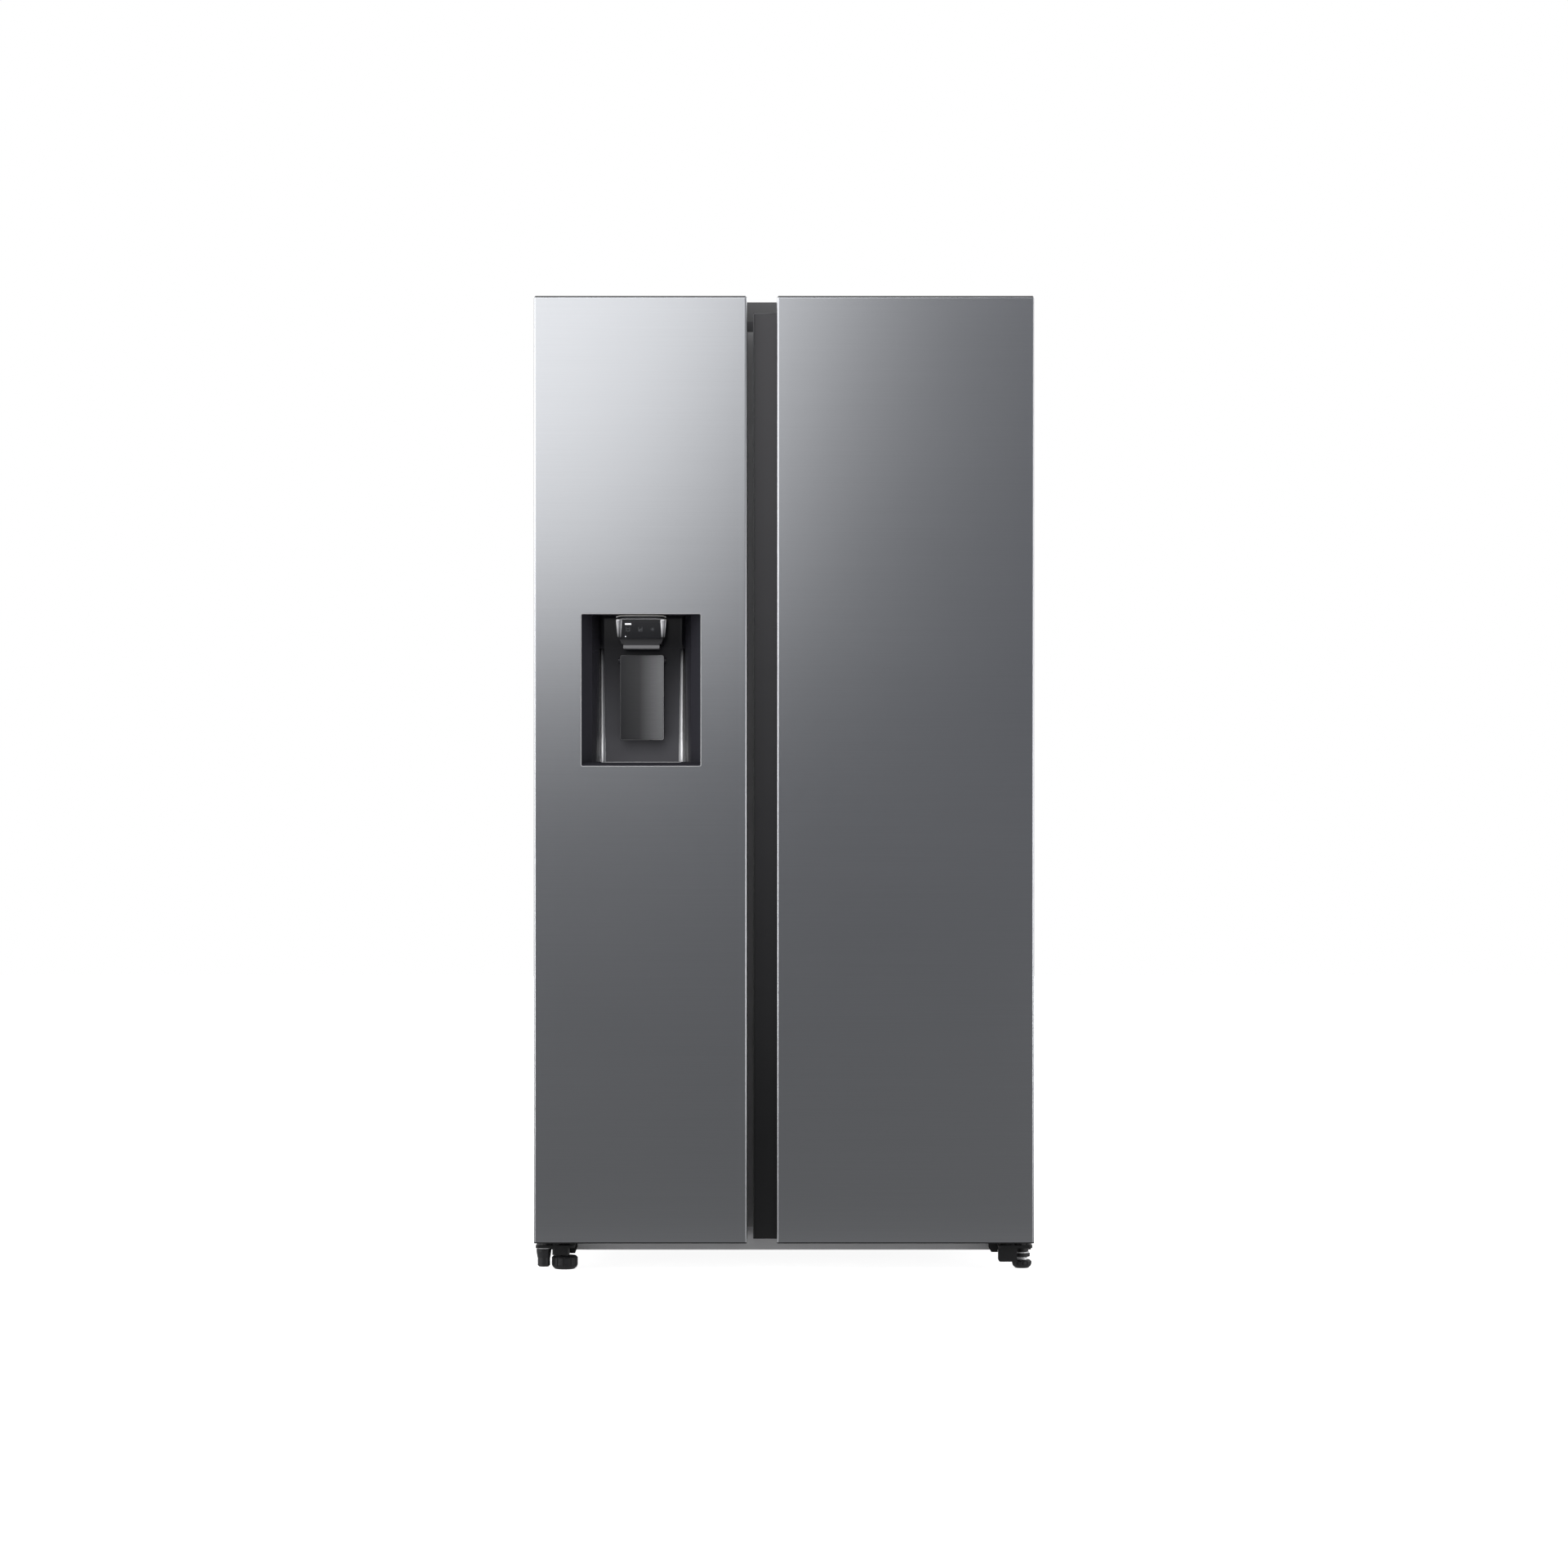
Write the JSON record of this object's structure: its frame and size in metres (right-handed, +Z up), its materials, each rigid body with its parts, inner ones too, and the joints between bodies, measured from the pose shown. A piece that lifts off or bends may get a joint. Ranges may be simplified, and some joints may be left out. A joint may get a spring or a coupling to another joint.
{
  "type": "side by side refrigerator",
  "caption": "Side by side refrigerator with a narrow freezer door holding a recessed ice and water dispenser, a wide fridge door and a full-height finger slot between them",
  "frame": {"origin": "middle of the footprint, on the floor", "axes": "+Z up, doors face -Y, +X to the viewer's right"},
  "size_m": [0.912, 0.716, 1.78],
  "materials": {
    "stainless": "satin",
    "dark_paint": "satin",
    "grey_paint": "satin",
    "rail_paint": "satin",
    "black_metal": "satin",
    "zinc": "satin",
    "copper": "satin",
    "black_plastic": "satin",
    "dark_plastic": "satin",
    "grey_plastic": "satin",
    "gloss_black": "gloss",
    "white_plastic": "satin",
    "clear_plastic": "gloss",
    "glass": "gloss",
    "foam": "matte",
    "rubber": "matte",
    "green_board": "satin",
    "blue_plastic": "satin"
  },
  "bodies": {
    "cabinet": {"outer_case": "dark_paint", "insulation": "foam", "back_panel": "grey_paint", "base_frame": "rail_paint", "mullion_cover": "dark_paint", "top_cover": "dark_plastic", "upper_hinges": "zinc", "lower_hinge_left": "black_metal", "lower_hinge_right": "black_metal", "water_line": "white_plastic", "freezer_liner": "white_plastic", "fridge_liner": "white_plastic", "duct_covers": "white_plastic", "evaporator": "copper", "compressor": "black_metal", "compressor_mounts": "rubber", "condenser": "black_metal", "fan_shroud": "black_plastic", "compressor_plate": "zinc", "machine_room_cover": "grey_paint", "drain_pan": "black_plastic", "water_inlet_valve": "blue_plastic", "control_board": "green_board", "glass_shelves": "glass", "shelf_trims": "grey_plastic", "lamp_covers": "white_plastic", "screws": "zinc", "cord_gland": "black_plastic"},
    "freezer_door": {"freezer_door_panel": "stainless", "freezer_door_foam": "foam", "freezer_door_liner": "white_plastic", "freezer_door_gasket": "rubber", "freezer_door_caps": "dark_plastic", "freezer_door_grip": "black_plastic", "freezer_door_bins": "clear_plastic", "dispenser_housing": "black_plastic", "dispenser_head": "gloss_black", "dispenser_display": "gloss_black", "dispenser_spout": "dark_plastic", "ice_bucket": "clear_plastic", "ice_maker": "white_plastic"},
    "fridge_door": {"fridge_door_panel": "stainless", "fridge_door_foam": "foam", "fridge_door_liner": "white_plastic", "fridge_door_gasket": "rubber", "fridge_door_caps": "dark_plastic", "fridge_door_grip": "black_plastic", "fridge_door_bins": "clear_plastic"},
    "dispenser_lever": {"dispenser_lever": "dark_plastic"},
    "ice_auger": {"ice_auger": "zinc"},
    "left_foot": {"left_foot": "black_plastic"},
    "right_foot": {"right_foot": "black_plastic"},
    "rear_roller_left": {"rear_roller_left": "black_plastic"},
    "rear_roller_right": {"rear_roller_right": "black_plastic"},
    "condenser_fan": {"condenser_fan": "grey_plastic"},
    "evaporator_fan": {"evaporator_fan": "grey_plastic"},
    "freezer_drawer_upper": {"freezer_drawer_upper": "clear_plastic"},
    "freezer_drawer_lower": {"freezer_drawer_lower": "clear_plastic"},
    "crisper_upper": {"crisper_upper": "clear_plastic"},
    "crisper_lower": {"crisper_lower": "clear_plastic"}
  },
  "joints": [
    {"name": "freezer_door_hinge", "type": "hinge", "parent": "cabinet", "child": "freezer_door", "pos_m": [-0.434, -0.294, 0.9], "axis": [0, 0, -1], "range_deg": [0, 120]},
    {"name": "fridge_door_hinge", "type": "hinge", "parent": "cabinet", "child": "fridge_door", "pos_m": [0.434, -0.294, 0.9], "axis": [0, 0, 1], "range_deg": [0, 120]},
    {"name": "dispenser_lever_pivot", "type": "hinge", "parent": "freezer_door", "child": "dispenser_lever", "pos_m": [-0.2606, -0.289, 1.1173], "axis": [1, 0, 0], "range_deg": [0, 5], "stiffness_Nm_per_rad": 0.6},
    {"name": "ice_auger_turn", "type": "hinge", "parent": "freezer_door", "child": "ice_auger", "pos_m": [-0.2606, -0.217, 1.274], "axis": [1, 0, 0], "continuous": true},
    {"name": "left_foot_adjust", "type": "slide", "parent": "cabinet", "child": "left_foot", "axis": [0, 0, 1], "range_m": [-0.012, 0]},
    {"name": "right_foot_adjust", "type": "slide", "parent": "cabinet", "child": "right_foot", "axis": [0, 0, 1], "range_m": [-0.012, 0]},
    {"name": "rear_roller_left_turn", "type": "hinge", "parent": "cabinet", "child": "rear_roller_left", "pos_m": [-0.392, 0.304, 0.014], "axis": [1, 0, 0], "continuous": true},
    {"name": "rear_roller_right_turn", "type": "hinge", "parent": "cabinet", "child": "rear_roller_right", "pos_m": [0.392, 0.304, 0.014], "axis": [1, 0, 0], "continuous": true},
    {"name": "condenser_fan_turn", "type": "hinge", "parent": "cabinet", "child": "condenser_fan", "pos_m": [0.02, 0.218, 0.1525], "axis": [1, 0, 0], "continuous": true},
    {"name": "evaporator_fan_turn", "type": "hinge", "parent": "cabinet", "child": "evaporator_fan", "pos_m": [-0.254, 0.23, 0.935], "axis": [0, 1, 0], "continuous": true},
    {"name": "freezer_drawer_upper_slide", "type": "slide", "parent": "cabinet", "child": "freezer_drawer_upper", "axis": [0, -1, 0], "range_m": [0, 0.07]},
    {"name": "freezer_drawer_lower_slide", "type": "slide", "parent": "cabinet", "child": "freezer_drawer_lower", "axis": [0, -1, 0], "range_m": [0, 0.07]},
    {"name": "crisper_upper_slide", "type": "slide", "parent": "cabinet", "child": "crisper_upper", "axis": [0, -1, 0], "range_m": [0, 0.07]},
    {"name": "crisper_lower_slide", "type": "slide", "parent": "cabinet", "child": "crisper_lower", "axis": [0, -1, 0], "range_m": [0, 0.07]}
  ]
}
